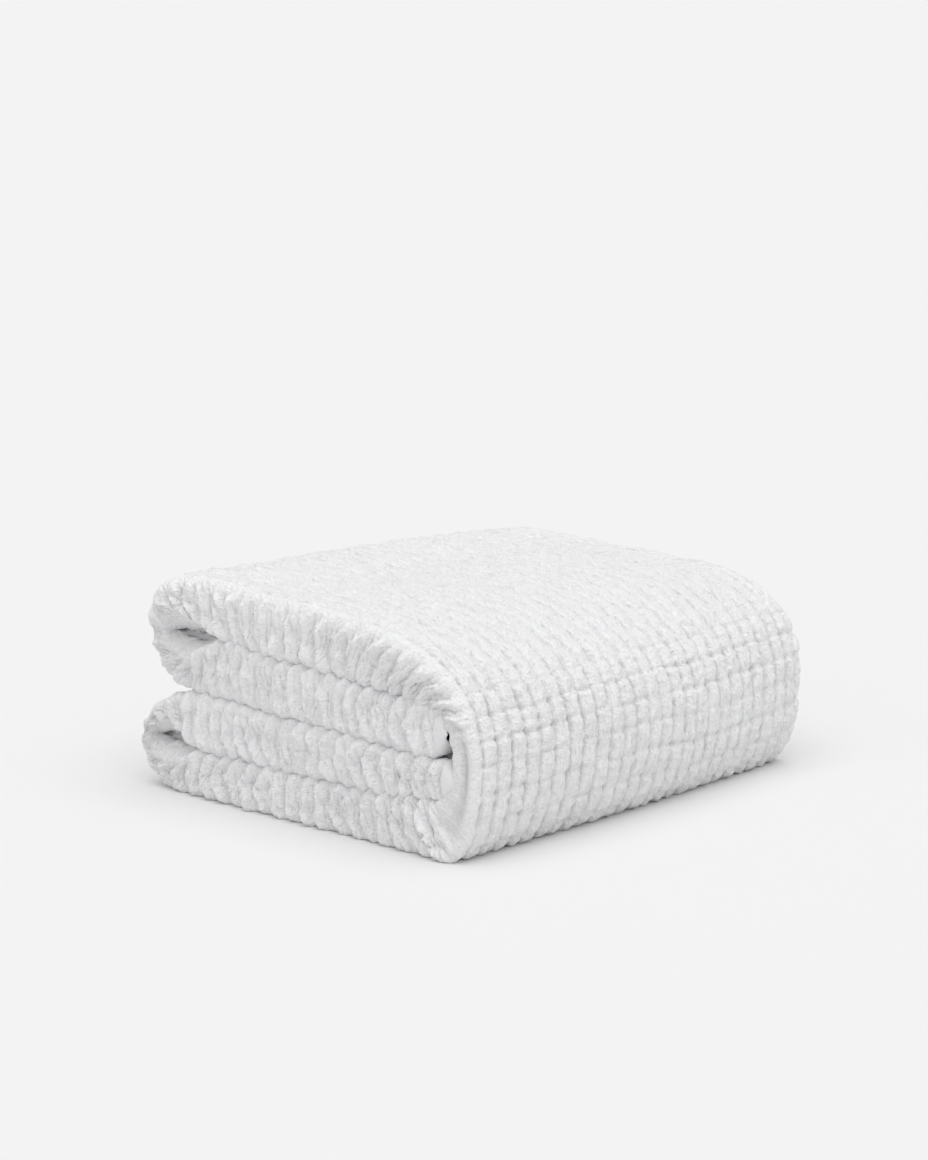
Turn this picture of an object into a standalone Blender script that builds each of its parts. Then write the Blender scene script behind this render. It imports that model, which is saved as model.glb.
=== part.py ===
"""Folded throw blanket, modelled as the folded bundle of one puckered cotton throw.

Metres, +Z up. The origin is the middle of the footprint, on the surface the throw lies on.
The throw is folded in four across its length, which makes a strip of four plies. The two ends
of the strip are folded in to its middle, and the strip is then closed like a book.
+X is the closed spine of the book, -X has the two turns of the strip's ends, and Y runs along
the spine. The rounded outer fold of the four plies is at -Y, the hems are at +Y.
"""
import math

import bpy
import bmesh
import numpy as np

# The layout below is in its own x; the model is moved so that its footprint is centred.
FOOTPRINT_MIDDLE_X = 0.0075

# The throw, laid flat.
THROW_LENGTH = 1.50
PLIES_ACROSS = 4

# The folded stack.
STACK_Y = THROW_LENGTH / PLIES_ACROSS
STACK_Z = 0.155
GAP = 0.0004                # between layers that touch
JOINT_GAP = 0.0004          # between two portions of the cloth where the model is split

# The three lines where one layer lies on the next: height at x = 0, and slope along X.
LINE_34 = (0.0355, 0.035)   # bottom layer and lower flap
LINE_23 = (0.0735, -0.025)  # lower flap and upper flap
LINE_12 = (0.1135, -0.045)  # upper flap and top layer

# The spine: an upright wall with a tight lower corner and a long, soft upper shoulder.
SPINE_X = 0.171
SPINE_MID_Z = 0.062
SPINE_WALL = 0.018
CORNER_X = 0.143            # the underside starts to curve up here
CORNER_INNER_X = 0.128
SHOULDER_X = 0.010          # the top starts to fall away here
SHOULDER_INNER_X = 0.040
SHOULDER_POWER = 2.6
SHOULDER_INNER_POWER = 3.5

# Where the cloth bends when the throw is opened: two lines along Y, on the outer face.
CORNER_SPLIT = math.radians(38.0)
SHOULDER_SPLIT = math.radians(54.4)
LOWER_AXIS = (0.162, 0.0140)
UPPER_AXIS = (0.148, 0.127)

# The turns at the strip's ends, each with a soft tunnel inside that narrows to a tip.
LOWER_TURN = {"x": -0.118, "reach": 0.038, "tunnel_x": -0.129, "tunnel_z": 0.0365,
              "tunnel_reach": 0.0195, "tunnel_half": 0.0135, "tip_x": -0.094}
UPPER_TURN = {"x": -0.110, "reach": 0.0365, "tunnel_x": -0.112, "tunnel_z": 0.113,
              "tunnel_reach": 0.019, "tunnel_half": 0.0135, "tip_x": -0.076}

# The flaps' free ends, with the side hems of the four plies in a rounded nose.
LOWER_FLAP_END = 0.143
UPPER_FLAP_END = 0.131
LOWER_SIDE_HEM = 0.016
UPPER_SIDE_HEM = 0.022

# The section of the four plies, along Y and through the thickness.
NEAR_ROUND = 0.014          # depth of the outer fold's rounding at -Y
FAR_ROUND = 0.009           # depth of the middle fold's rounding at +Y
END_HEM = 0.012             # width of a turned and stitched end hem
HEM_SET_BACK = 0.004
HEM_CLEAR = 0.06            # clearance through the thickness, as a share of half of it

# The blank care label, sewn into an end hem.
LABEL_WIDTH = 0.024
LABEL_DROP = 0.018
LABEL_THICK = 0.001
LABEL_X = 0.055

COTTON = (0.86, 0.86, 0.87, 1.0)
HEM_COTTON = (0.84, 0.84, 0.85, 1.0)
LABEL_SATIN = (0.82, 0.82, 0.82, 1.0)


def clear_scene():
    for obj in list(bpy.data.objects):
        bpy.data.objects.remove(obj, do_unlink=True)


def cloth_material(name, colour, roughness):
    mat = bpy.data.materials.new(name)
    mat.use_nodes = True
    shader = mat.node_tree.nodes["Principled BSDF"]
    shader.inputs["Base Color"].default_value = colour
    shader.inputs["Roughness"].default_value = roughness
    shader.inputs["Metallic"].default_value = 0.0
    return mat


# ---- stations: pairs of points (outer face, inner face) in X and Z, along the strip ----

def line_z(line, x):
    return line[0] + line[1] * x


def run(x_from, x_to, outer_z, inner_z, steps):
    """A nearly flat stretch; the two heights are functions of x."""
    return [((x, outer_z(x)), (x, inner_z(x))) for x in np.linspace(x_from, x_to, steps + 1)]


def quarter(centre, radii, angle, power):
    """A point on a rounded corner: angle 0 is straight up or down, 90 degrees is sideways."""
    sideways = abs(math.sin(angle)) ** (2.0 / power)
    upright = abs(math.cos(angle)) ** (2.0 / power)
    return (centre[0] + radii[0] * sideways, centre[1] + radii[1] * upright)


def corner_stations(angle_from, angle_to, steps):
    """The spine's lower corner, from the underside to the spine's widest height."""
    inner_z = line_z(LINE_34, CORNER_INNER_X) - GAP / 2
    stations = []
    for angle in np.linspace(angle_from, angle_to, steps + 1):
        outer = quarter((CORNER_X, SPINE_MID_Z), (SPINE_X - CORNER_X, -SPINE_MID_Z), angle, 2.0)
        inner = quarter((CORNER_INNER_X, SPINE_MID_Z),
                        (SPINE_X - SPINE_WALL - CORNER_INNER_X, inner_z - SPINE_MID_Z), angle, 2.0)
        stations.append((outer, inner))
    return stations


def shoulder_stations(angle_from, angle_to, steps):
    """The spine's upper shoulder, from the spine's widest height up to the flat top."""
    inner_z = line_z(LINE_12, SHOULDER_INNER_X) + GAP / 2
    stations = []
    for angle in np.linspace(angle_from, angle_to, steps + 1):
        outer = quarter((SHOULDER_X, SPINE_MID_Z), (SPINE_X - SHOULDER_X, STACK_Z - SPINE_MID_Z),
                        angle, SHOULDER_POWER)
        inner = quarter((SHOULDER_INNER_X, SPINE_MID_Z),
                        (SPINE_X - SPINE_WALL - SHOULDER_INNER_X, inner_z - SPINE_MID_Z),
                        angle, SHOULDER_INNER_POWER)
        stations.append((outer, inner))
    return stations


def turn_stations(turn, upper_face, lower_face, parting):
    """A turn of the strip's end: taper, half turn and taper back, with a tunnel inside."""
    top = upper_face(turn["x"])
    bottom = lower_face(turn["x"])
    middle = (top + bottom) / 2
    half = (top - bottom) / 2

    def tunnel_half_at(x):
        share = (turn["tip_x"] - x) / (turn["tip_x"] - turn["tunnel_x"])
        return turn["tunnel_half"] * math.sin(math.pi / 2 * min(1.0, max(0.0, share)))

    def taper(sign, face):
        stations = []
        for share in np.linspace(0.0, 1.0, 5):
            outer_x = turn["tip_x"] + share * (turn["x"] - turn["tip_x"])
            inner_x = turn["tip_x"] + share * (turn["tunnel_x"] - turn["tip_x"])
            ease = share * share * (3 - 2 * share)
            seam_z = line_z(parting, inner_x) + sign * GAP / 2
            tunnel_z = turn["tunnel_z"] + sign * tunnel_half_at(inner_x)
            inner_z = seam_z + (tunnel_z - seam_z) * ease
            stations.append(((outer_x, face(outer_x)), (inner_x, inner_z)))
        return stations

    stations = taper(1, upper_face)
    for angle in np.linspace(math.pi / 2, 3 * math.pi / 2, 13)[1:-1]:
        outer = (turn["x"] + turn["reach"] * math.cos(angle), middle + half * math.sin(angle))
        inner = (turn["tunnel_x"] + turn["tunnel_reach"] * math.cos(angle),
                 turn["tunnel_z"] + turn["tunnel_half"] * math.sin(angle))
        stations.append((outer, inner))
    return stations + taper(-1, lower_face)[::-1]


def nose_stations(x_start, x_end, outer_z, inner_z, steps=6):
    """A flap's free end, rounded through its thickness like the nose of a folded hem."""
    stations = []
    for angle in np.linspace(0.0, math.radians(72.0), steps + 1):
        x = x_start + (x_end - x_start) * math.sin(angle) / math.sin(math.radians(72.0))
        middle = (outer_z(x) + inner_z(x)) / 2
        half = (outer_z(x) - inner_z(x)) / 2 * math.cos(angle)
        stations.append(((x, middle + half), (x, middle - half)))
    return stations


def trimmed(stations, start, end):
    """The same stations with the first and last moved inward by a distance in metres."""
    result = [tuple(map(np.array, pair)) for pair in stations]
    for index, neighbour, amount in ((0, 1, start), (-1, -2, end)):
        pair, other = result[index], result[neighbour]
        step = [other[side] - pair[side] for side in (0, 1)]
        result[index] = tuple(pair[side] + step[side] * (amount / np.linalg.norm(step[side]))
                              for side in (0, 1))
    return result


# ---- sections: points (y, n), with n = 1 on the outer face and n = -1 on the inner face ----

def bundle_section():
    """Four plies: rounded at -Y by the outer fold, at +Y by the middle fold beside the hems."""
    near, far = -STACK_Y / 2, STACK_Y / 2 - 2 * LABEL_THICK
    section = []
    for angle in np.linspace(-math.pi / 2, math.pi / 2, 11):
        section.append((near + NEAR_ROUND * (1 - math.cos(angle)), math.sin(angle)))
    for angle in np.linspace(math.pi / 2, -math.pi / 2, 7):
        section.append((far - FAR_ROUND * (1 - math.cos(angle)),
                        0.5 + (0.5 - HEM_CLEAR / 2) * math.sin(angle)))
    section.append((far - END_HEM, HEM_CLEAR / 2))
    section.append((far - END_HEM, -1.0))
    return section


def hem_section(n_low, n_high):
    """One turned end hem, a soft-edged strip beside the end of its ply."""
    start = STACK_Y / 2 - 2 * LABEL_THICK - END_HEM + JOINT_GAP
    end = STACK_Y / 2 - 2 * LABEL_THICK - HEM_SET_BACK
    ease_y, ease_n = 0.25 * (end - start), 0.25 * (n_high - n_low)
    return [(start, n_low), (end - ease_y, n_low), (end, n_low + ease_n),
            (end, n_high - ease_n), (end - ease_y, n_high), (start, n_high)]


# ---- solids ----

def sweep(bm, stations, section):
    rings = []
    for outer, inner in stations:
        outer, inner = np.array(outer), np.array(inner)
        ring = []
        for y, n in section:
            x, z = inner + (outer - inner) * (n + 1) / 2
            ring.append(bm.verts.new((float(x) - FOOTPRINT_MIDDLE_X, y, float(z))))
        rings.append(ring)
    count = len(section)
    for first, second in zip(rings, rings[1:]):
        for i in range(count):
            j = (i + 1) % count
            bm.faces.new((first[i], first[j], second[j], second[i]))
    bm.faces.new(rings[0][::-1])
    bm.faces.new(rings[-1])


def finish_object(name, bm, material, parent):
    bmesh.ops.recalc_face_normals(bm, faces=bm.faces)
    offset = parent.location if parent else (0.0, 0.0, 0.0)
    bmesh.ops.translate(bm, verts=bm.verts, vec=[-value for value in offset])
    mesh = bpy.data.meshes.new(name)
    bm.to_mesh(mesh)
    bm.free()
    mesh.materials.append(material)
    mesh.shade_smooth()
    mesh.set_sharp_from_angle(angle=math.radians(50.0))
    obj = bpy.data.objects.new(name, mesh)
    bpy.context.collection.objects.link(obj)
    obj.parent = parent
    return obj


def add_bundle(name, stations, material, parent=None):
    bm = bmesh.new()
    sweep(bm, trimmed(stations, JOINT_GAP / 2, JOINT_GAP / 2), bundle_section())
    return finish_object(name, bm, material, parent)


def add_end_hems(portion, stations, material, parent=None):
    """The throw's two end hems, which lie side by side beside the middle fold."""
    edges = {"last_end_hem_": (-0.5 + HEM_CLEAR / 2, -HEM_CLEAR / 2),
             "first_end_hem_": (-1.0 + HEM_CLEAR / 2, -0.5 - HEM_CLEAR / 2)}
    for prefix, (n_low, n_high) in edges.items():
        bm = bmesh.new()
        sweep(bm, trimmed(stations, JOINT_GAP / 2, JOINT_GAP / 2), hem_section(n_low, n_high))
        finish_object(prefix + portion, bm, material, parent)


def add_axis(name, axis):
    empty = bpy.data.objects.new(name, None)
    bpy.context.collection.objects.link(empty)
    empty.location = (axis[0] - FOOTPRINT_MIDDLE_X, 0.0, axis[1])
    return empty


def add_care_label(material):
    """A blank folded ribbon: its root is at the hem, and it hangs over the middle fold."""
    face_y = STACK_Y / 2 - LABEL_THICK
    hem_y = STACK_Y / 2 - 2 * LABEL_THICK - HEM_SET_BACK + JOINT_GAP
    top_z = 0.0245
    bottom_z = top_z - LABEL_DROP
    outline = [(hem_y, top_z), (face_y + LABEL_THICK, top_z), (face_y + LABEL_THICK, bottom_z),
               (face_y, bottom_z), (face_y, top_z - LABEL_THICK), (hem_y, top_z - LABEL_THICK)]
    bm = bmesh.new()
    sides = []
    middle_x = LABEL_X - FOOTPRINT_MIDDLE_X
    for x in (middle_x - LABEL_WIDTH / 2, middle_x + LABEL_WIDTH / 2):
        sides.append([bm.verts.new((x, y, z)) for y, z in outline])
    for i in range(len(outline)):
        j = (i + 1) % len(outline)
        bm.faces.new((sides[0][i], sides[0][j], sides[1][j], sides[1][i]))
    bm.faces.new(sides[0][::-1])
    bm.faces.new(sides[1])
    return finish_object("care_label", bm, material, None)


# ---- the throw ----

def build():
    clear_scene()
    cotton = cloth_material("puckered_cotton", COTTON, 0.95)
    hem_cotton = cloth_material("hem_cotton", HEM_COTTON, 0.9)
    satin = cloth_material("label_satin", LABEL_SATIN, 0.5)
    half_gap = GAP / 2

    def floor(x):
        return 0.0

    def top(x):
        return STACK_Z

    def above(line):
        return lambda x: line_z(line, x) + half_gap

    def below(line):
        return lambda x: line_z(line, x) - half_gap

    lower_turn = turn_stations(LOWER_TURN, below(LINE_23), floor, LINE_34)
    upper_turn = turn_stations(UPPER_TURN, top, above(LINE_23), LINE_12)
    tip_low, tip_high = LOWER_TURN["tip_x"], UPPER_TURN["tip_x"]
    nose_low, nose_high = LOWER_FLAP_END - LOWER_SIDE_HEM, UPPER_FLAP_END - UPPER_SIDE_HEM
    bottom = (run(tip_low, CORNER_INNER_X, floor, below(LINE_34), 4)[:-1]
              + corner_stations(0.0, CORNER_SPLIT, 4))
    spine = (corner_stations(CORNER_SPLIT, math.pi / 2, 5)[:-1]
             + shoulder_stations(math.pi / 2, SHOULDER_SPLIT, 6))
    top_run = (shoulder_stations(SHOULDER_SPLIT, 0.0, 8)
               + run(SHOULDER_X, tip_high, top, above(LINE_12), 3)[1:])
    lower_flap = run(nose_low, tip_low, below(LINE_23), above(LINE_34), 3)
    upper_flap = run(nose_high, tip_high, above(LINE_23), below(LINE_12), 3)
    lower_nose = nose_stations(nose_low, LOWER_FLAP_END, below(LINE_23), above(LINE_34))
    upper_nose = nose_stations(nose_high, UPPER_FLAP_END, above(LINE_23), below(LINE_12))

    lower_axis = add_axis("lower_fold_axis", LOWER_AXIS)
    upper_axis = add_axis("upper_fold_axis", UPPER_AXIS)

    add_bundle("bottom_layer", bottom, cotton)
    add_bundle("lower_end_turn", lower_turn, cotton)
    add_bundle("lower_inner_flap", lower_flap, cotton)
    add_bundle("lower_flap_side_hem", lower_nose, hem_cotton)
    add_bundle("spine_wall", spine, cotton, lower_axis)
    add_bundle("top_layer", top_run, cotton, upper_axis)
    add_bundle("upper_end_turn", upper_turn[::-1], cotton, upper_axis)
    add_bundle("upper_inner_flap", upper_flap, cotton, upper_axis)
    add_bundle("upper_flap_side_hem", upper_nose, hem_cotton, upper_axis)

    add_end_hems("bottom", bottom, hem_cotton)
    add_end_hems("lower_turn", lower_turn, hem_cotton)
    add_end_hems("lower_flap", lower_flap, hem_cotton)
    add_end_hems("spine", spine, hem_cotton, lower_axis)
    add_end_hems("top", top_run, hem_cotton, upper_axis)
    add_end_hems("upper_turn", upper_turn, hem_cotton, upper_axis)
    add_end_hems("upper_flap", upper_flap, hem_cotton, upper_axis)
    add_care_label(satin)


build()
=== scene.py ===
"""The looks of a folded throw blanket: one puckered cotton cloth, folded as the real one is.

The cloth is one surface in four plies. It is folded in four across its length, which makes a
strip of four plies along Y; the strip's ends are turned in to its middle, and it is then closed
like a book with its spine at +X. Metres, +Z up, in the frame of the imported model.

Places on the cloth are given by s, v and n. s runs along the strip, from the lower flap's free
end round the stack to the upper flap's. v runs across the strip, along the path round the four
plies, and is 0 in the middle of their outer fold. n says where a ply lies in its layer: 1 is the
strip's outer face and -1 is its inner face.
"""
import math

import bpy
import numpy as np
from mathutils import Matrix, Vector


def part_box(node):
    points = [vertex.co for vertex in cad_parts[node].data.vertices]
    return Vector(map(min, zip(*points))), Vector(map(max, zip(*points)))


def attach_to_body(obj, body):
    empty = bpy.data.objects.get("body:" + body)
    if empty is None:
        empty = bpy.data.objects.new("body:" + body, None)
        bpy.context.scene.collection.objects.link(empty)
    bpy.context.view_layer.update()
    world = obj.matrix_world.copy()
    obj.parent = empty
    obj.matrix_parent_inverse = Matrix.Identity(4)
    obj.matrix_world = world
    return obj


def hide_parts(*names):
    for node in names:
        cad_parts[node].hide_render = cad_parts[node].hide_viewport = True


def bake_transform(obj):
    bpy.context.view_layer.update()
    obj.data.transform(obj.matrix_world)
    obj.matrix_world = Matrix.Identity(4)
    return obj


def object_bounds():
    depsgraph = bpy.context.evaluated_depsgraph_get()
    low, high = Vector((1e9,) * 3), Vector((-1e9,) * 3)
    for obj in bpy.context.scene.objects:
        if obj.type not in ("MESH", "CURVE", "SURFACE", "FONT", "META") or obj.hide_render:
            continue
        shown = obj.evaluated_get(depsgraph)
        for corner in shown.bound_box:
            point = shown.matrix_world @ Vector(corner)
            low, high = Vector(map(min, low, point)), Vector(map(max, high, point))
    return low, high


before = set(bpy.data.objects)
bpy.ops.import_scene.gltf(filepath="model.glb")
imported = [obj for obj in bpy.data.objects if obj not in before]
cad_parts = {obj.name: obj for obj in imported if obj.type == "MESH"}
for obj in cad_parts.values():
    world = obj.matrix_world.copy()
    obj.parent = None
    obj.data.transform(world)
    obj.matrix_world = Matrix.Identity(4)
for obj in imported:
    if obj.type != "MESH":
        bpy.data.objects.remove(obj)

CAD_LOW, CAD_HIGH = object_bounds()
TOP_Z = CAD_HIGH.z - 0.008               # the top, where the cloth does not puff up
NEAR_Y = CAD_LOW.y                       # the outer fold of the four plies
FAR_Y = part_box("bottom_layer")[1].y      # the middle fold, beside the hems

# ---- the folded strip in X and Z ----

GAP = 0.0004                             # between faces of the strip that lie on each other
MIDDLE_X = 0.0075                        # the footprint's middle, in the layout's own x
SPINE_X = CAD_HIGH.x + MIDDLE_X          # the spine's outer face
SPINE_MID_Z = 0.062                      # where the spine's lower and upper bend meet
SPINE_WALL = 0.018                       # how thick the strip is there
CORNER_X, CORNER_INNER_X = 0.143, 0.128  # where the lower bend starts, outside and inside
CORNER_POWER = 2.0                       # a corner of power 2 is round, and a higher one is fuller
SHOULDER_X, SHOULDER_INNER_X = 0.010, 0.065
SHOULDER_POWER, SHOULDER_INNER_POWER = 2.6, 2.8
STRAIGHT_X = -0.050                      # between here and the spine the layers lie straight
BOTTOM_END_X, TOP_START_X = 0.10, -0.01  # where the bottom and top portions meet the spine's
LOWER_TURN = {"left_x": -0.1560, "left_z": 0.033, "upper_x": -0.094, "lower_x": -0.122,
              "tunnel_x": -0.129, "tunnel_z": 0.0370, "tunnel_reach": 0.021,
              "tunnel_half": 0.0140, "tip_x": -0.099}
UPPER_TURN = {"left_x": -0.1465, "left_z": 0.1175, "upper_x": -0.103, "lower_x": -0.101,
              "tunnel_x": -0.113, "tunnel_z": 0.1155, "tunnel_reach": 0.0205,
              "tunnel_half": 0.0152, "tip_x": -0.076}
SHUT_SHARE = 0.07                        # a tunnel's height where it is pinched shut
SHUT_DEPTH = 0.022                       # and how far in from the ends that is
LOWER_FLAP_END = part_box("lower_flap_side_hem")[1].x + MIDDLE_X + 0.0095
UPPER_FLAP_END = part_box("upper_flap_side_hem")[1].x + MIDDLE_X + 0.0133
LOWER_NOSE, UPPER_NOSE = 0.011, 0.017    # lengths of the flaps' rounded ends
NOSE_ANGLE = 72.0                        # in degrees; at 90 a flap's end would be shut

# ---- the four plies in Y and through the thickness ----

PLY_HALF = 0.0175                        # half of a usual layer's thickness, for lengths only
ARC_POINTS = 200                         # points on each of the three folds
NEAR_ROUND, NEAR_POWER = 0.0095, 2.9     # the outer fold
FAR_ROUND = 0.009                        # the middle fold
FAR_INNER_N = 0.03                       # it ends here, just outside the layer's middle
PLY_N = 0.28                             # where the two inner plies lie
INNER_TURN_Y = 0.012                     # the inner fold stands this far inside the outer one
INNER_ROUND = 0.006
SETTLE = 0.020                           # the inner plies lie in place this far past a fold
HEM_WIDTH, HEM_SET_BACK, HEM_HALF = 0.012, 0.004, 0.0026
HEM_STEP = 3                             # stations of the strip for each ring of an end hem
SIDE_HEM_WIDTH, SIDE_HEM_HALF = 0.013, 0.0014
SIDE_HEM_MIDDLE = 6                      # stations from a flap's free edge to its hem's middle

# ---- the puckered weave ----

STEP = 0.0010                            # spacing of the mesh along the strip
ROW = 16 * STEP                          # a puff's length, along the strip
RIB = 0.0146                             # from rib to rib on the layers' ends
COLUMN = 0.0141                          # a puff's width, across it
COLUMN_STOPS = np.array((0.0, 0.045, 0.105, 0.2, 0.34, 0.5, 0.66, 0.8, 0.895, 0.955))
FIRST_SLIT = 0.0265                      # from the outer fold's middle to the first slit
FINE_DEPTH = 0.060                       # the inner face is fine this far in from the ends
INNER_FINE_DEPTH = 0.018                 # and the two inner plies are fine this far in
PUFF_DEPTH, PUFF_LEVEL = 0.0042, 0.68    # height of a puff, and its share below the mean level
RIB_DEPTH, RIB_LEVEL = 0.0064, 0.50      # the same for a rib
END_REACH = 0.023                        # the ribs reach this far from the outer fold's middle

# ---- looks ----

COTTON_WHITE = (0.96, 0.96, 0.97)
HEM_WHITE = (0.80, 0.80, 0.81)
SATIN_WHITE = (0.85, 0.85, 0.85)
FLOOR_GREY = (0.83, 0.83, 0.83)


def smooth(t):
    t = np.clip(t, 0.0, 1.0)
    return t * t * (3 - 2 * t)


def noise(x, y, seed):
    """Smooth noise from -1 to 1 with one random value per unit square."""
    table = np.random.default_rng(seed).uniform(-1.0, 1.0, (512, 512))
    i, j = np.floor(x).astype(int), np.floor(y).astype(int)
    a, b = smooth(x - i), smooth(y - j)
    i, j = i % 512, j % 512
    k, m = (i + 1) % 512, (j + 1) % 512
    low = table[i, j] * (1 - a) + table[k, j] * a
    high = table[i, m] * (1 - a) + table[k, m] * a
    return low * (1 - b) + high * b


def pick(i, j, seed):
    """A random value from 0 to 1 for each pair of whole numbers."""
    table = np.random.default_rng(seed).uniform(0.0, 1.0, (512, 512))
    return table[i.astype(int) % 512, j.astype(int) % 512]


# ---- the strip's outer and inner faces ----

def line_34(x):
    """The middle of the two lower layers' parting; it climbs towards the spine."""
    return 0.0333 + 0.0325 * (x + np.sqrt(x * x + 0.0009))


def line_23(x):
    """The same between the bottom half and the top half; it falls a little, in a slow wave."""
    return 0.0731 - 0.018 * x + 0.0013 * np.sin(2 * math.pi * (x - 0.012) / 0.15)


def line_12(x):
    """The same between the two upper layers."""
    return 0.1133 - 0.048 * x + 0.0012 * np.sin(2 * math.pi * (x - 0.005) / 0.11)


def floor_line(x):
    return 0.0 * x


def top_line(x):
    return TOP_Z + 0.0 * x


def above(line):
    return lambda x: line(x) + GAP / 2


def below(line):
    return lambda x: line(x) - GAP / 2


def run(x_from, x_to, height):
    x = np.linspace(x_from, x_to, 80)
    return np.column_stack((x, height(x)))


def quarter(centre, radii, angle_from, angle_to, power):
    """A rounded corner: angle 0 is straight up or down, 90 degrees is sideways."""
    angle = np.radians(np.linspace(angle_from, angle_to, 160))
    x = centre[0] + radii[0] * np.abs(np.sin(angle)) ** (2 / power)
    z = centre[1] + radii[1] * np.abs(np.cos(angle)) ** (2 / power)
    return np.column_stack((x, z))


def joined(*parts):
    return np.concatenate([parts[0]] + [part[1:] for part in parts[1:]])


def turn(size, upper_face, lower_face, parting, tunnel_share):
    """Outer and inner face of a turn, from the upper face's straight part round to the lower's."""
    angle = np.linspace(0.0, math.pi / 2, 80)

    def bow(start_x, face):
        z = size["left_z"] + (face(start_x) - size["left_z"]) * np.cos(angle)
        return np.column_stack((start_x + (size["left_x"] - start_x) * np.sin(angle), z))

    outer = joined(run(STRAIGHT_X, size["upper_x"], upper_face), bow(size["upper_x"], upper_face),
                   bow(size["lower_x"], lower_face)[::-1],
                   run(size["lower_x"], STRAIGHT_X, lower_face))
    round_way = np.linspace(math.pi / 2, 3 * math.pi / 2, 120)
    tunnel_half = size["tunnel_half"] * tunnel_share
    hollow = np.column_stack((size["tunnel_x"] + size["tunnel_reach"] * np.cos(round_way),
                              size["tunnel_z"] + tunnel_half * np.sin(round_way)))

    def taper(sign):
        share = np.linspace(0.0, 1.0, 60)
        x = size["tip_x"] + share * (size["tunnel_x"] - size["tip_x"])
        seam = parting(x) + sign * GAP / 2
        tunnel = size["tunnel_z"] + sign * tunnel_half
        return np.column_stack((x, seam + (tunnel - seam) * np.sin(math.pi / 2 * share) ** 1.3))

    inner = joined(run(STRAIGHT_X, size["tip_x"], above(parting)), taper(1), hollow,
                   taper(-1)[::-1], run(size["tip_x"], STRAIGHT_X, below(parting)))
    return outer, inner


def nose(x_end, length, outer_line, inner_line):
    """Outer and inner face of a flap's free end, from its rounded tip to where it is full."""
    angle = np.radians(np.linspace(NOSE_ANGLE, 0.0, 40))
    x = x_end - length + length * np.sin(angle) / math.sin(math.radians(NOSE_ANGLE))
    middle = (outer_line(x) + inner_line(x)) / 2
    half = (outer_line(x) - inner_line(x)) / 2 * np.cos(angle)
    return np.column_stack((x, middle + half)), np.column_stack((x, middle - half))


def lengths(points):
    """The distance along a line of points, at each point."""
    return np.concatenate(([0.0], np.cumsum(np.linalg.norm(np.diff(points, axis=0), axis=1))))


def at_shares(points, shares):
    along = lengths(points)
    return np.column_stack([np.interp(shares * along[-1], along, points[:, k]) for k in (0, 1)])


def split_at_middle(points):
    """A turn's curve in two, at its leftmost point."""
    index = int(np.argmin(points[:, 0]))
    return points[:index + 1], points[index:]


def strip_segments(tunnel_share):
    """The name of each stretch, and its two curves (outer, inner) that run side by side."""
    spine_in = SPINE_X - SPINE_WALL
    lower_full, upper_full = LOWER_FLAP_END - LOWER_NOSE, UPPER_FLAP_END - UPPER_NOSE
    lower_nose = nose(LOWER_FLAP_END, LOWER_NOSE, below(line_23), above(line_34))
    upper_nose = nose(UPPER_FLAP_END, UPPER_NOSE, above(line_23), below(line_12))
    lower_turn = turn(LOWER_TURN, below(line_23), floor_line, line_34, tunnel_share)
    upper_turn = turn(UPPER_TURN, top_line, above(line_23), line_12, tunnel_share)
    lower_outer, lower_inner = (split_at_middle(curve) for curve in lower_turn)
    upper_outer, upper_inner = (split_at_middle(curve) for curve in upper_turn)
    corner_z = float(line_34(CORNER_INNER_X)) - GAP / 2
    shoulder_z = float(line_12(SHOULDER_INNER_X)) + GAP / 2
    corner = (quarter((CORNER_X, SPINE_MID_Z), (SPINE_X - CORNER_X, -SPINE_MID_Z),
                      0, 90, CORNER_POWER),
              quarter((CORNER_INNER_X, SPINE_MID_Z),
                      (spine_in - CORNER_INNER_X, corner_z - SPINE_MID_Z), 0, 90, CORNER_POWER))
    shoulder = (quarter((SHOULDER_X, SPINE_MID_Z), (SPINE_X - SHOULDER_X, TOP_Z - SPINE_MID_Z),
                        90, 0, SHOULDER_POWER),
                quarter((SHOULDER_INNER_X, SPINE_MID_Z),
                        (spine_in - SHOULDER_INNER_X, shoulder_z - SPINE_MID_Z),
                        90, 0, SHOULDER_INNER_POWER))
    return [
        ("lower_flap", joined(lower_nose[0], run(lower_full, STRAIGHT_X, below(line_23))),
         joined(lower_nose[1], run(lower_full, STRAIGHT_X, above(line_34)))),
        ("lower_turn", lower_outer[0], lower_inner[0]),
        ("lower_turn", lower_outer[1], lower_inner[1]),
        ("bottom", run(STRAIGHT_X, BOTTOM_END_X, floor_line),
         run(STRAIGHT_X, BOTTOM_END_X, below(line_34))),
        ("corner", joined(run(BOTTOM_END_X, CORNER_X, floor_line), corner[0]),
         joined(run(BOTTOM_END_X, CORNER_INNER_X, below(line_34)), corner[1])),
        ("shoulder", joined(shoulder[0], run(SHOULDER_X, TOP_START_X, top_line)),
         joined(shoulder[1], run(SHOULDER_INNER_X, TOP_START_X, above(line_12)))),
        ("top", run(TOP_START_X, STRAIGHT_X, top_line),
         run(TOP_START_X, STRAIGHT_X, above(line_12))),
        ("upper_turn", upper_outer[0], upper_inner[0]),
        ("upper_turn", upper_outer[1], upper_inner[1]),
        ("upper_flap", joined(run(STRAIGHT_X, upper_full, above(line_23)), upper_nose[0][::-1]),
         joined(run(STRAIGHT_X, upper_full, below(line_12)), upper_nose[1][::-1])),
    ]


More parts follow.
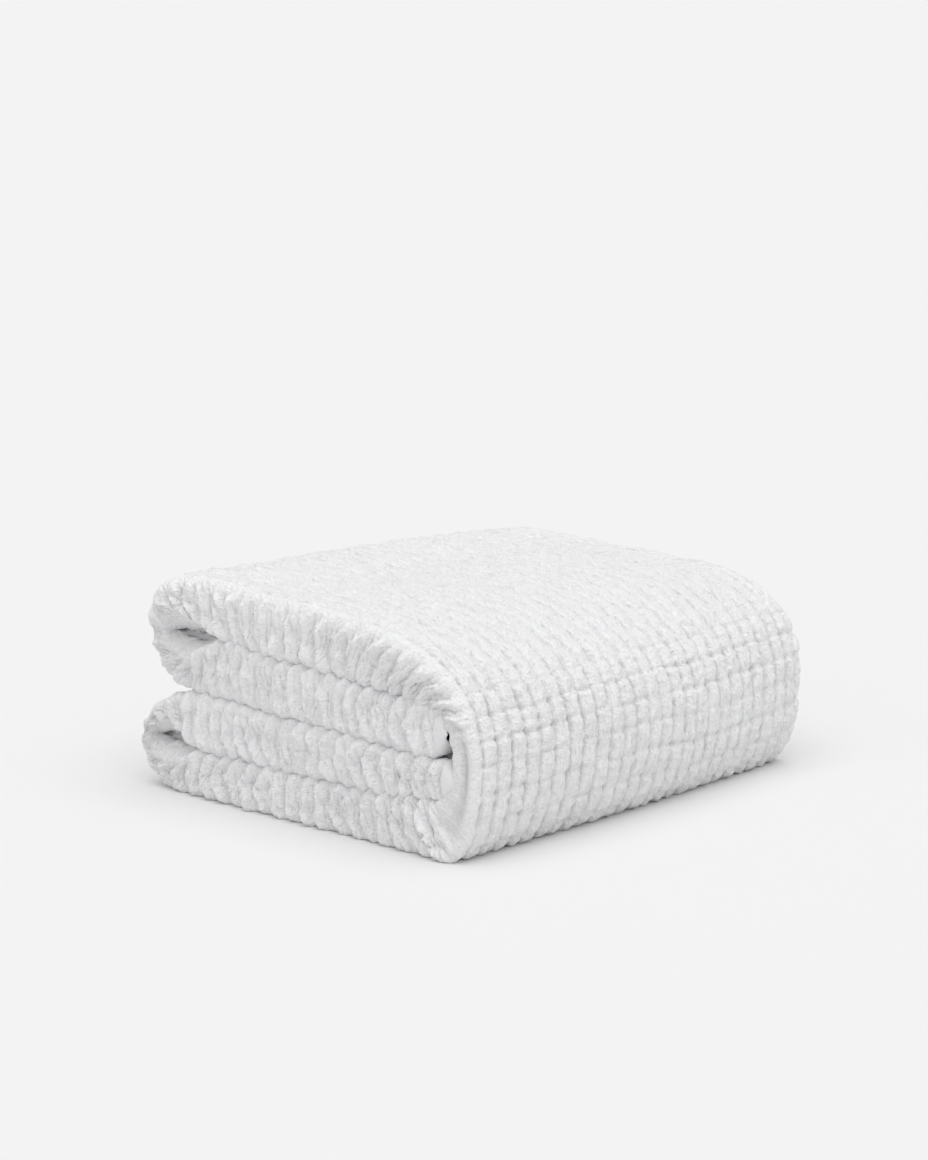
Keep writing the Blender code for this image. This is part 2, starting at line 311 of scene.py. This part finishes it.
def strip_stations():
    """Outer and inner points at every STEP of the strip, and the first station of each stretch.

    The third set of points is the inner face where the turns' tunnels are pinched shut.
    """
    segments, shut = strip_segments(1.0), strip_segments(SHUT_SHARE)
    sizes = [(lengths(o)[-1] + lengths(i)[-1]) / 2 for _, o, i in segments]
    ends = np.concatenate(([0.0], np.cumsum(sizes)))
    count = int(round(ends[-1] / STEP))
    s = np.linspace(0.0, ends[-1], count + 1)
    faces, starts = np.zeros((3, count + 1, 2)), {}
    for (name, o, i), (_, _, i_shut), low, high in zip(segments, shut, ends[:-1], ends[1:]):
        here = (s >= low - 1e-9) & (s <= high + 1e-9)
        shares = (s[here] - low) / (high - low)
        for face, curve in zip(faces, (o, i, i_shut)):
            face[here] = at_shares(curve, shares)
        starts.setdefault(name, int(np.argmax(here)))
    return s, faces, starts


# ---- the section across the four plies ----

def section_path():
    """The cloth's path (y, n) from the first end hem to the last."""
    hem_y = FAR_Y - HEM_SET_BACK - HEM_WIDTH / 2
    settle_y = FAR_Y - FAR_ROUND - SETTLE
    angle = np.linspace(-math.pi / 2, math.pi / 2, ARC_POINTS)
    power = 2 / NEAR_POWER
    outer = np.column_stack((NEAR_Y + NEAR_ROUND * (1 - np.cos(angle) ** power),
                             np.sign(np.sin(angle)) * np.abs(np.sin(angle)) ** power))
    middle_n, half_n = (1 + FAR_INNER_N) / 2, (1 - FAR_INNER_N) / 2
    middle = np.column_stack((FAR_Y - FAR_ROUND * (1 - np.cos(angle)),
                              middle_n - half_n * np.sin(angle)))
    inner = np.column_stack((NEAR_Y + INNER_TURN_Y + INNER_ROUND * (1 - np.cos(angle)),
                             -PLY_N * np.sin(angle)))
    return np.vstack(([hem_y, -1.0], outer, middle, [settle_y, PLY_N], inner,
                      [settle_y, -PLY_N], [hem_y, -PLY_N]))


def section_rows():
    """The path's rows: y, n, v and the depth in from the ends, which is 0 on the outer face.

    The last value is v in the middle of the middle fold.
    """
    path = section_path()
    along = lengths(path * (1.0, PLY_HALF))
    outer_end, middle_end = 1 + ARC_POINTS, 1 + 2 * ARC_POINTS
    along -= along[int(np.argmin(path[:outer_end, 0]))]
    far_v = along[outer_end + int(np.argmax(path[outer_end:middle_end, 0]))]
    first = int((along[0] - FIRST_SLIT) / COLUMN) - 1
    last = int((along[-1] - FIRST_SLIT) / COLUMN) + 1
    stops = (np.arange(first, last + 1)[:, None] + COLUMN_STOPS[None, :]).ravel()
    at_slit = np.tile(COLUMN_STOPS == 0.0, last - first + 1)
    v = FIRST_SLIT + stops * COLUMN
    inside = (v > along[0] + 0.0002) & (v < along[-1] - 0.0002)
    v = np.concatenate(([along[0]], v[inside], [along[-1]]))
    at_slit = np.concatenate(([True], at_slit[inside], [True]))
    y, n = np.interp(v, along, path[:, 0]), np.interp(v, along, path[:, 1])
    outer_ply = (v > 0) & (v < far_v + 0.020)
    edge = np.minimum(y - NEAR_Y, FAR_Y - y)
    fine = outer_ply | (edge < np.where(v < 0, FINE_DEPTH, INNER_FINE_DEPTH))
    keep = fine | at_slit
    depth = np.where(outer_ply, 0.0, edge)
    return y[keep], n[keep], v[keep], depth[keep], far_v


# ---- relief ----

def waffle(s, v, upright):
    """Columns of puffs between broken slits along the strip, about 0 to 1.

    Shallow grooves cross the columns and pits line the slits, both deepest on the upright spine.
    """
    p = (v - FIRST_SLIT) / COLUMN + 0.03 * noise(s / 0.011, v / 0.02, 11)
    column = np.floor(p + 1e-6)
    shift = 0.12 * (pick(column, 0 * column, 12) - 0.5)
    q = s / ROW + shift + 0.09 * noise(v / 0.06, s / 0.04, 13)
    row = np.floor(q)
    in_column, in_row = np.maximum(p - column, 0.0), q - row
    across, along = np.abs(2 * in_column - 1), np.abs(2 * in_row - 1)
    side, end = column + (in_column > 0.5), row + (in_row > 0.5)
    from_slit = (1 - across) * COLUMN / 2
    from_groove = (1 - along) * ROW / 2

    # a slit is open over a part of each row, and on the spine it never closes quite
    strength = 0.72 + 0.28 * pick(side, row, 14)
    from_open = np.abs(2 * in_row - 0.8 - 0.4 * pick(side, row, 18))
    open_part = smooth((0.85 - from_open) / 0.45)
    open_part = open_part + 0.22 * (1 - open_part) * upright
    slit = np.exp(-(from_slit / 0.0019) ** 1.4) * strength * open_part

    groove = np.exp(-(from_groove / 0.0018) ** 1.6) * (0.55 + 0.25 * pick(0 * end, end, 15))
    groove *= 0.30 + 0.95 * pick(column, end, 26)

    # a pit where a slit and a groove cross, and another about half way to the next groove
    pits = np.exp(-(from_slit / 0.0025) ** 2 - (from_groove / 0.0023) ** 2)
    pits *= 0.3 + 0.7 * pick(side, end, 19)
    from_half = (in_row - 0.42 - 0.16 * pick(side, row, 27)) * ROW
    half_pit = np.exp(-(from_slit / 0.0024) ** 2 - (from_half / 0.0022) ** 2)
    pits += 0.7 * half_pit * pick(side, row, 28)

    puff = (1 - 0.36 * across ** 2) * (1 - 0.14 * along ** 2)
    puff += 0.14 * (pick(column, row, 16) - 0.5)
    threads = (0.28 * noise(v / 0.0025, s / 0.010, 17)
               + 0.18 * noise(v / 0.0030, s / 0.0030, 20))
    dents = 0.46 * groove * (0.1 + 0.9 * upright ** 2) + 0.9 * pits * (0.2 + 0.8 * upright)
    return np.clip(puff - slit - dents + threads, -0.95, 1.3)


def ridges(s, v, heading):
    """Crescent ribs across the layer's end, with finer ones between, about 0 to 1."""
    wave = 0.24 * noise(v / 0.014, s / 0.03, 21) + 0.14 * noise(v / 0.006, s / 0.009, 22)
    q = s / RIB + wave - 0.32 * heading * np.minimum(np.abs(v) / 0.016, 1.3) ** 2
    along = np.abs(2 * (q - np.floor(q)) - 1)
    rib = (0.5 + 0.5 * np.cos(math.pi * along)) ** 1.3
    rib *= 0.82 + 0.38 * noise(s / 0.016, v / 0.010, 23)
    q = 3 * s / RIB + 0.7 * noise(v / 0.012, s / 0.009, 25)
    small = 1 - np.abs(2 * (q % 1.0) - 1) ** 1.4
    grain = 0.15 * noise(s / 0.0026, v / 0.0026, 24)
    return 0.95 * rib + 0.36 * small + grain


def end_share(v):
    """1 on the rounded ends that the outer fold makes, and 0 on the faces of the layers."""
    return np.exp(-(np.abs(v) / END_REACH) ** 8)


def relief(s, v, upright, spine, heading):
    """Height of the puckers over the cloth's mean level, in metres."""
    at_end = end_share(v)
    # the spine's own end is almost plain
    calm = 1 - 0.80 * spine * np.exp(-(np.abs(v) / 0.026) ** 10)
    height = PUFF_DEPTH * (waffle(s, v, upright) - PUFF_LEVEL) * (1 - at_end)
    rib_depth = RIB_DEPTH * (0.4 + 0.6 * heading ** 2) * at_end
    rib_depth *= 1 - 0.70 * smooth((np.abs(v) - 0.009) / 0.012)
    height += rib_depth * (ridges(s, v, heading) - RIB_LEVEL)
    # the layers press on each other just inside their ends
    height += 0.0011 * np.exp(-((np.abs(v) - 0.016) / 0.008) ** 2)
    lip = (0.0022 * np.exp(-((v + 0.012) / 0.006) ** 2)
           - 0.0040 * np.exp(-((v - 0.007) / 0.008) ** 2))
    fine = 0.0004 * noise(s / 0.009, v / 0.009, 32)
    return height * calm + fine + lip * spine


def warp(points):
    """Slow, small unevenness of the whole stack; the underside stays on the floor."""
    x, y, z = points[..., 0] + MIDDLE_X, points[..., 1], points[..., 2]
    lift = smooth(z / 0.04)
    dz = 0.0011 * np.sin(19 * y + 9 * x + 0.6) + 0.0009 * np.sin(31 * x - 14 * y)
    dx = 0.0012 * np.sin(17 * y + 24 * z)
    # the spine stands further in towards its far end
    dx = dx - 0.011 * smooth((y + 0.08) / 0.26) * smooth((x - 0.03) / 0.12)
    dy = 0.0010 * np.sin(23 * x + 40 * z + 0.5)
    return points + np.stack((dx, dy, dz * lift), axis=-1)


def grid_normals(points):
    along = np.gradient(points, axis=0)
    across = np.gradient(points, axis=1)
    normal = np.cross(along, across)
    return normal / np.maximum(np.linalg.norm(normal, axis=-1, keepdims=True), 1e-12)


def fullness(outer, inner, y):
    """How far the outer face stands out or in from the plain strip, per station and row.

    The second value is the direction of that, per station.
    """
    out = (outer - inner) / np.linalg.norm(outer - inner, axis=1, keepdims=True)
    high = smooth((outer[:, 1] - 0.085) / 0.05)
    up = np.maximum(out[:, 1], 0) * high
    left = up * smooth((-0.02 - outer[:, 0]) / 0.08)
    side = np.maximum(out[:, 0], 0) * smooth((outer[:, 0] - 0.05) / 0.05)
    low = side * smooth((0.05 - outer[:, 1]) / 0.05)
    near = np.maximum(0.0, 1 - (y - NEAR_Y) / 0.024) ** 2
    far = np.maximum(0.0, 1 - (FAR_Y - y) / 0.035) ** 2
    lie = np.clip((0.17 - y) / 0.34, 0.0, 1.0)
    # the top swells towards the near end and the left, and is rounded off at both ends
    lift = up[:, None] * (0.0085 * lie - 0.0035 * near - 0.005 * far)
    lift = lift + left[:, None] * 0.007 * smooth((0.15 - y) / 0.20)
    wall = side[:, None] * (-0.003 * near - 0.006 * far)
    # the shoulder swells towards the far end
    corner = np.clip(4 * out[:, 0] * np.maximum(out[:, 1], 0) ** 2, 0.0, 1.0)
    corner = corner * smooth((outer[:, 0] - 0.045) / 0.085)
    lift = lift + corner[:, None] * 0.005 * smooth((y - 0.01) / 0.17)
    return lift + wall + low[:, None] * 0.002 * far, out


def place(stations, y, n):
    """Points of the folded strip at rows (y, n), with its fullness and unevenness."""
    outer, inner, inner_shut = stations
    share = (n + 1) / 2
    stand, out = fullness(outer, inner_shut, y)
    depth = np.minimum(y - NEAR_Y, FAR_Y - y) / SHUT_DEPTH
    inner = inner[:, None, :] + (inner_shut - inner)[:, None, :] * smooth(depth)[None, :, None]
    xz = inner + (outer[:, None, :] - inner) * share[None, :, None]
    xz = xz + out[:, None, :] * (stand * share)[..., None]
    return warp(np.stack((xz[..., 0] - MIDDLE_X, np.broadcast_to(y, xz.shape[:2]), xz[..., 1]),
                         axis=-1))


def make_cloth():
    """The whole cloth as one grid of points, with stations along s and rows along v."""
    s, faces, starts = strip_stations()
    y, n, v, depth, far_v = section_rows()
    base = place(faces, y, n)
    normal = grid_normals(base)
    # outward is away from the middle of the four plies
    sign = -1.0 if normal[len(s) // 2, np.argmin(np.abs(v)), 1] > 0 else 1.0
    normal *= sign
    grid_s, grid_v = np.meshgrid(s, v, indexing="ij")
    # the outer face lies a little unevenly along Y
    drift = (0.0005 * noise(grid_v / 0.06, grid_s / 0.025, 41)
             + 0.0003 * noise(grid_v / 0.02, grid_s / 0.010, 42))
    on_ply = smooth((grid_v - FIRST_SLIT) / 0.02) * smooth((far_v - 0.02 - grid_v) / 0.02)
    base[..., 1] += drift * on_ply
    corner_s, shoulder_s = s[starts["corner"]], s[starts["shoulder"]]
    spine = smooth((grid_s - corner_s - 0.03) / 0.03)
    spine *= smooth((shoulder_s + 0.045 - grid_s) / 0.04)
    upright = smooth((grid_s - corner_s - 0.02) / 0.03)
    upright *= smooth((shoulder_s + 0.09 - grid_s) / 0.06)
    heading = np.gradient(faces[0][:, 0], s)[:, None]
    height = relief(grid_s, grid_v, upright, spine, heading)
    # deep inside, where only the rows at the slits are kept, the cloth is plain
    quiet = smooth((FINE_DEPTH - depth) / 0.02)
    inside = (np.abs(n) < 0.5) & (v > far_v)
    inner_quiet = 0.3 * smooth((INNER_FINE_DEPTH - depth) / 0.008)
    quiet = np.where(inside & (depth > 0), inner_quiet, quiet)
    # the hems along the flaps' free edges press the puckers flat
    from_edge = np.minimum(grid_s, s[-1] - grid_s)
    height = height * quiet * (0.2 + 0.8 * smooth((from_edge - 0.010) / 0.008))
    points = base + normal * height[..., None]
    points[..., 2] = np.maximum(points[..., 2], 0.0)
    return {"points": points, "normals": grid_normals(points) * sign, "s": s, "v": v,
            "height": height, "starts": starts, "faces": faces,
            "base": base, "base_normals": normal, "sign": sign}


# ---- meshes ----

def new_object(name, points, quads, material):
    mesh = bpy.data.meshes.new(name)
    mesh.vertices.add(len(points))
    mesh.vertices.foreach_set("co", np.ascontiguousarray(points, dtype=np.float32).ravel())
    mesh.loops.add(len(quads) * 4)
    mesh.loops.foreach_set("vertex_index", np.ascontiguousarray(quads, dtype=np.int32).ravel())
    mesh.polygons.add(len(quads))
    mesh.polygons.foreach_set("loop_start", np.arange(0, len(quads) * 4, 4, dtype=np.int32))
    mesh.update(calc_edges=True)
    mesh.validate()
    mesh.shade_smooth()
    mesh.materials.append(material)
    obj = bpy.data.objects.new(name, mesh)
    bpy.context.collection.objects.link(obj)
    return obj


def grid_quads(rows, columns, flip):
    index = np.arange(rows * columns).reshape(rows, columns)
    quads = np.stack((index[:-1, :-1], index[1:, :-1], index[1:, 1:], index[:-1, 1:]), axis=-1)
    quads = quads.reshape(-1, 4)
    return quads[:, ::-1] if flip else quads


def set_attribute(mesh, name, values):
    attribute = mesh.attributes.new(name, "FLOAT", "POINT")
    attribute.data.foreach_set("value", values.astype(np.float32).ravel())


def cloth_piece(name, cloth, first, last, material):
    """The stations first to last of the cloth, with the normals of the whole."""
    here = slice(first, last + 1)
    points, normals = cloth["points"][here], cloth["normals"][here]
    rows, columns = points.shape[:2]
    quads = grid_quads(rows, columns, cloth["sign"] < 0)
    obj = new_object(name, points.reshape(-1, 3), quads, material)
    mesh = obj.data
    grid_s, grid_v = np.meshgrid(cloth["s"][here], cloth["v"], indexing="ij")
    uv = np.column_stack((grid_s.ravel(), grid_v.ravel()))
    layer = mesh.uv_layers.new(name="cloth")
    layer.uv.foreach_set("vector", uv[quads.ravel()].astype(np.float32).ravel())
    set_attribute(mesh, "relief", cloth["height"][here] / PUFF_DEPTH)
    set_attribute(mesh, "at_end", end_share(grid_v))
    mesh.normals_split_custom_set_from_vertices(normals.reshape(-1, 3).tolist())
    return obj


def tube(name, centres, sides, ups, half_width, half_height, material, corners=14, power=0.7):
    """A band with a rounded section along centres; sides and ups are its axes at each point."""
    angle = np.linspace(0.0, 2 * math.pi, corners, endpoint=False)
    a = np.sign(np.cos(angle)) * np.abs(np.cos(angle)) ** power
    b = np.sign(np.sin(angle)) * np.abs(np.sin(angle)) ** power
    width = np.broadcast_to(half_width, len(centres))[:, None, None]
    height = np.broadcast_to(half_height, len(centres))[:, None, None]
    ring = (centres[:, None, :] + sides[:, None, :] * a[None, :, None] * width
            + ups[:, None, :] * b[None, :, None] * height)
    index = np.arange(len(centres) * corners).reshape(len(centres), corners)
    after = np.roll(index, -1, axis=1)
    walls = np.stack((index[:-1], after[:-1], after[1:], index[1:]), axis=-1).reshape(-1, 4)
    caps = [(loop[k], loop[corners - k - 1], loop[corners - k - 2], loop[k + 1])
            for loop in (index[0], index[-1][::-1]) for k in range(corners // 2 - 1)]
    return new_object(name, ring.reshape(-1, 3), np.vstack((walls, caps)), material)


# ---- materials ----

def nodes_of(name):
    material = bpy.data.materials.new(name)
    material.use_nodes = True
    tree = material.node_tree
    return material, tree.nodes, tree.links, tree.nodes["Principled BSDF"]


def fine_noise(nodes, links, uv_map, scale, detail):
    """Noise over the cloth's own surface, with its scale per metre along and across."""
    stretch = nodes.new("ShaderNodeMapping")
    stretch.inputs["Scale"].default_value = scale + (1.0,)
    links.new(uv_map.outputs["UV"], stretch.inputs["Vector"])
    noise_node = nodes.new("ShaderNodeTexNoise")
    noise_node.inputs["Scale"].default_value = 1.0
    noise_node.inputs["Detail"].default_value = detail
    noise_node.inputs["Roughness"].default_value = 0.6
    links.new(stretch.outputs["Vector"], noise_node.inputs["Vector"])
    return noise_node.outputs["Fac"]


def mapped(nodes, links, value, low, high, to_low, to_high):
    node = nodes.new("ShaderNodeMapRange")
    node.inputs["From Min"].default_value = low
    node.inputs["From Max"].default_value = high
    node.inputs["To Min"].default_value = to_low
    node.inputs["To Max"].default_value = to_high
    links.new(value, node.inputs["Value"])
    return node.outputs["Result"]


def combined(nodes, links, a, b, operation):
    node = nodes.new("ShaderNodeMath")
    node.operation = operation
    links.new(a, node.inputs[0])
    links.new(b, node.inputs[1])
    return node.outputs["Value"]


def add_bump(nodes, links, shader, height, strength, distance):
    bump = nodes.new("ShaderNodeBump")
    bump.inputs["Strength"].default_value = strength
    bump.inputs["Distance"].default_value = distance
    links.new(height, bump.inputs["Height"])
    links.new(bump.outputs["Normal"], shader.inputs["Normal"])


def cotton_material(name, colour, bump_strength):
    """Matt white cotton: loose threads and specks over the puckers, with painted shade down in the
    slits and in the hollows of the threads and specks.
    """
    material, nodes, links, shader = nodes_of(name)
    shader.inputs["Roughness"].default_value = 0.95
    shader.inputs["Specular IOR Level"].default_value = 0.15
    shader.inputs["Sheen Weight"].default_value = 0.20
    shader.inputs["Sheen Roughness"].default_value = 0.5
    uv_map = nodes.new("ShaderNodeUVMap")
    uv_map.uv_map = "cloth"
    # the threads run one way on the layers' faces, and the other way on their ends
    at_end = nodes.new("ShaderNodeAttribute")
    at_end.attribute_name = "at_end"
    threads = nodes.new("ShaderNodeMix")
    links.new(at_end.outputs["Fac"], threads.inputs["Factor"])
    links.new(fine_noise(nodes, links, uv_map, (110.0, 520.0), 3.0), threads.inputs["A"])
    links.new(fine_noise(nodes, links, uv_map, (480.0, 130.0), 3.0), threads.inputs["B"])
    specks = fine_noise(nodes, links, uv_map, (480.0, 480.0), 3.0)
    height = combined(nodes, links, threads.outputs["Result"], specks, "ADD")
    add_bump(nodes, links, shader, height, bump_strength, 0.0030)
    level = nodes.new("ShaderNodeAttribute")
    level.attribute_name = "relief"
    # painted shade: the colour darkens down in the slits and pits, where the relief lies low
    painted_slit_shade = mapped(nodes, links, level.outputs["Fac"], -0.9, -0.15, 0.85, 1.0)
    # painted shade: the colour darkens where the threads' and specks' bump lies low, as if shaded
    # in their hollows
    painted_fibre_shade = mapped(nodes, links, height, 0.74, 1.0, 0.92, 1.0)
    shade = combined(nodes, links, painted_slit_shade, painted_fibre_shade, "MULTIPLY")
    mix = nodes.new("ShaderNodeMix")
    mix.data_type = "RGBA"
    mix.inputs["A"].default_value = (0.0, 0.0, 0.0, 1.0)
    mix.inputs["B"].default_value = colour + (1.0,)
    links.new(shade, mix.inputs["Factor"])
    links.new(mix.outputs["Result"], shader.inputs["Base Color"])
    return material


def plain_cotton(name, colour, scale):
    """Cloth or ribbon without puckers, with a fine grain."""
    material, nodes, links, shader = nodes_of(name)
    shader.inputs["Base Color"].default_value = colour + (1.0,)
    shader.inputs["Roughness"].default_value = 0.9
    shader.inputs["Sheen Weight"].default_value = 0.2
    where = nodes.new("ShaderNodeTexCoord")
    grain = nodes.new("ShaderNodeTexNoise")
    grain.inputs["Scale"].default_value = scale
    grain.inputs["Detail"].default_value = 3.0
    links.new(where.outputs["Object"], grain.inputs["Vector"])
    add_bump(nodes, links, shader, grain.outputs["Fac"], 0.5, 0.0006)
    return material


# ---- hems and label ----

def end_hem(name, cloth, first, last, n_middle, material):
    """A stretch of one end hem, along the strip beside the middle fold."""
    index = np.arange(first, last + 1, HEM_STEP)
    if index[-1] != last:
        index = np.append(index, last)
    stations = cloth["faces"][:, index]
    y = FAR_Y - HEM_SET_BACK - HEM_WIDTH / 2
    middle = place(stations, np.array((y, y)), np.array((n_middle, n_middle + 0.2)))
    centres = middle[:, 0].copy()
    ups = middle[:, 1] - middle[:, 0]
    ups /= np.linalg.norm(ups, axis=1, keepdims=True)
    along = cloth["s"][index]
    centres[:, 1] += 0.0006 * noise(along / 0.007, 0 * along, 41)
    sides = np.tile((0.0, 1.0, 0.0), (len(index), 1))
    # a hem is thinner where its layer has less room for it
    room = np.linalg.norm(stations[0] - stations[1], axis=1) / 8
    pucker = 1 + 0.15 * np.cos(2 * math.pi * along / ROW)
    height = np.minimum(HEM_HALF * pucker, room * 0.8)
    return tube(name, centres, sides, ups, HEM_WIDTH / 2, height, material)


def side_hem(name, cloth, end, material):
    """The hem along a flap's free edge, round all four plies."""
    inward = SIDE_HEM_MIDDLE if end == 0 else -SIDE_HEM_MIDDLE
    edge, middle = cloth["base"][end], cloth["base"][end + inward]
    sides = cloth["base"][end + 2 * inward] - edge
    sides /= np.linalg.norm(sides, axis=1, keepdims=True)
    ups = cloth["base_normals"][end + inward]
    ups = ups - sides * np.sum(ups * sides, axis=1, keepdims=True)
    ups /= np.linalg.norm(ups, axis=1, keepdims=True)
    return tube(name, middle, sides, ups, SIDE_HEM_WIDTH / 2, SIDE_HEM_HALF, material)


def care_label(material):
    """A blank folded ribbon: its root is in the first end hem, and its loop hangs below it."""
    rows, columns = 90, 25
    box_low, box_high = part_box("care_label")
    middle_x = (box_low.x + box_high.x) / 2
    width = box_high.x - box_low.x
    hem_z = box_high.z - 0.0015
    front_y = box_high.y + 0.0024           # clear of the puffed-up fold behind it
    # from the hem out over its edge and down, then back up behind
    path = np.array(((box_low.y - 0.0030, hem_z),
                     (front_y - 0.0022, hem_z + 0.0004),
                     (front_y, hem_z - 0.0020),
                     (front_y + 0.0003, box_low.z + 0.0030),
                     (front_y - 0.0006, box_low.z + 0.0006),
                     (front_y - 0.0014, box_low.z + 0.0030),
                     (front_y - 0.0013, hem_z - 0.0026)))
    along = lengths(path)
    at = np.linspace(0.0, along[-1], rows)
    y, z = np.interp(at, along, path[:, 0]), np.interp(at, along, path[:, 1])
    soft = np.ones(9) / 9
    y, z = (np.convolve(np.pad(value, 4, mode="edge"), soft, "valid") for value in (y, z))
    across = np.linspace(-1.0, 1.0, columns)
    curl = 0.0006 * across ** 2 * smooth((hem_z - z) / 0.012)[:, None]
    slant = 0.0008 * across[None, :] * smooth((hem_z - z) / 0.015)[:, None]
    points = np.stack((middle_x + across[None, :] * width / 2 + 0 * z[:, None],
                       y[:, None] - curl, z[:, None] + slant), axis=-1)
    quads = grid_quads(rows, columns, False)
    obj = new_object("satin_care_label", points.reshape(-1, 3), quads, material)
    thick = obj.modifiers.new("ribbon", "SOLIDIFY")
    thick.thickness = 0.00035
    thick.offset = 0.0
    bpy.context.view_layer.update()
    evaluated = obj.evaluated_get(bpy.context.evaluated_depsgraph_get())
    mesh = bpy.data.meshes.new_from_object(evaluated)
    obj.modifiers.clear()
    obj.data = mesh
    return obj


# ---- stage, camera and light ----

def make_floor():
    mesh = bpy.data.meshes.new("floor")
    size = 80.0
    mesh.from_pydata([(-size, -size, 0), (size, -size, 0), (size, size, 0), (-size, size, 0)],
                     [], [(0, 1, 2, 3)])
    floor = bpy.data.objects.new("floor", mesh)
    bpy.context.collection.objects.link(floor)
    material, _, _, shader = nodes_of("pale_floor")
    shader.inputs["Base Color"].default_value = FLOOR_GREY + (1.0,)
    shader.inputs["Roughness"].default_value = 1.0
    shader.inputs["Specular IOR Level"].default_value = 0.0
    mesh.materials.append(material)


def make_light():
    """Even white light from all round, and a very soft light from above."""
    world = bpy.data.worlds.new("studio")
    bpy.context.scene.world = world
    world.use_nodes = True
    back = world.node_tree.nodes["Background"]
    back.inputs["Color"].default_value = (1.0, 1.0, 1.0, 1.0)
    back.inputs["Strength"].default_value = 0.60

    sun = bpy.data.lights.new("key", "SUN")
    sun.energy = 1.58
    sun.angle = math.radians(70.0)
    key = bpy.data.objects.new("key", sun)
    bpy.context.collection.objects.link(key)
    key.rotation_euler = (math.radians(10.0), math.radians(14.0), 0.0)
    bpy.context.scene.view_settings.view_transform = "Standard"


def make_camera():
    """Looks past the spine's near corner, a little above and left of the stack's middle."""
    target = np.array((-0.0046 - MIDDLE_X, 0.0, TOP_Z / 2))
    azimuth, elevation, distance = math.radians(43.18), math.radians(13.01), 2.30
    aim_left, aim_up = 0.0071, 0.0693
    back = np.array((math.sin(azimuth) * math.cos(elevation),
                     -math.cos(azimuth) * math.cos(elevation), math.sin(elevation)))
    right = np.array((math.cos(azimuth), math.sin(azimuth), 0.0))
    up = np.cross(back, right)
    aim = target - aim_left * right + aim_up * up
    position = target + back * distance
    data = bpy.data.cameras.new("camera")
    data.sensor_fit = "HORIZONTAL"
    data.lens = 121.8
    data.clip_start, data.clip_end = 0.05, 200.0
    camera = bpy.data.objects.new("camera", data)
    bpy.context.collection.objects.link(camera)
    camera.location = position.tolist()
    look = Vector((aim - position).tolist())
    camera.rotation_euler = look.to_track_quat("-Z", "Y").to_euler()
    bpy.context.scene.camera = camera


# ---- the throw ----

# the cloth's portions along the strip: the CAD node that each stands for, the ending of its end
# hems' nodes, and the body that it rides on or the bend that it crosses
PORTIONS = {
    "lower_flap": ("lower_inner_flap", "lower_flap", "bottom_half"),
    "lower_turn": ("lower_end_turn", "lower_turn", "bottom_half"),
    "bottom": ("bottom_layer", "bottom", "bottom_half"),
    "corner": (None, None, "lower_bend"),
    "shoulder": ("spine_wall", "spine", "upper_bend"),
    "top": ("top_layer", "top", "top_half"),
    "upper_turn": ("upper_end_turn", "upper_turn", "top_half"),
    "upper_flap": ("upper_inner_flap", "upper_flap", "top_half"),
}
END_HEMS = {"first_end_hem_": -0.76, "last_end_hem_": -0.27}      # with the n of their middles


def attach(piece, body):
    if body == "lower_bend":
        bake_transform(piece)
    elif body == "upper_bend":
        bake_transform(piece)
    else:
        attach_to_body(piece, body)


def make_label():
    label = care_label(plain_cotton("label_satin", SATIN_WHITE, 1500.0))
    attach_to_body(label, "bottom_half")
    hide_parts("care_label")
    return label


def make_hems(name, cloth, first, last, material):
    """The two end hems along a portion, and the side hem along a flap's free edge."""
    _, hem_node, body = PORTIONS[name]
    hems = []
    for prefix, n_middle in END_HEMS.items():
        hem = end_hem("sewn_" + prefix + name, cloth, first, last, n_middle, material)
        attach(hem, body)
        if hem_node:
            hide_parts(prefix + hem_node)
        hems.append(hem)
    if name in ("lower_flap", "upper_flap"):
        end = first if name == "lower_flap" else last
        hem = side_hem("sewn_side_hem_" + name, cloth, end, material)
        attach(hem, body)
        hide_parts(name + "_side_hem")
        hems.append(hem)
    return hems


def make_throw():
    cotton = cotton_material("puckered_cotton", COTTON_WHITE, 0.8)
    hem_cotton = plain_cotton("hem_cotton", HEM_WHITE, 900.0)
    label = make_label()
    cloth = make_cloth()
    s, v = cloth["s"], cloth["v"]
    firsts = [cloth["starts"][name] for name in PORTIONS]
    lasts = firsts[1:] + [len(s) - 1]
    for (name, (node, _, body)), first, last in zip(PORTIONS.items(), firsts, lasts):
        piece = cloth_piece("cloth_" + name, cloth, first, last, cotton)
        attach(piece, body)
        if node:
            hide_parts(node)
        sewn_on = make_hems(name, cloth, first, last, hem_cotton)
        if name == "bottom":
            sewn_on.append(label)


make_camera()
make_floor()
make_light()
make_throw()
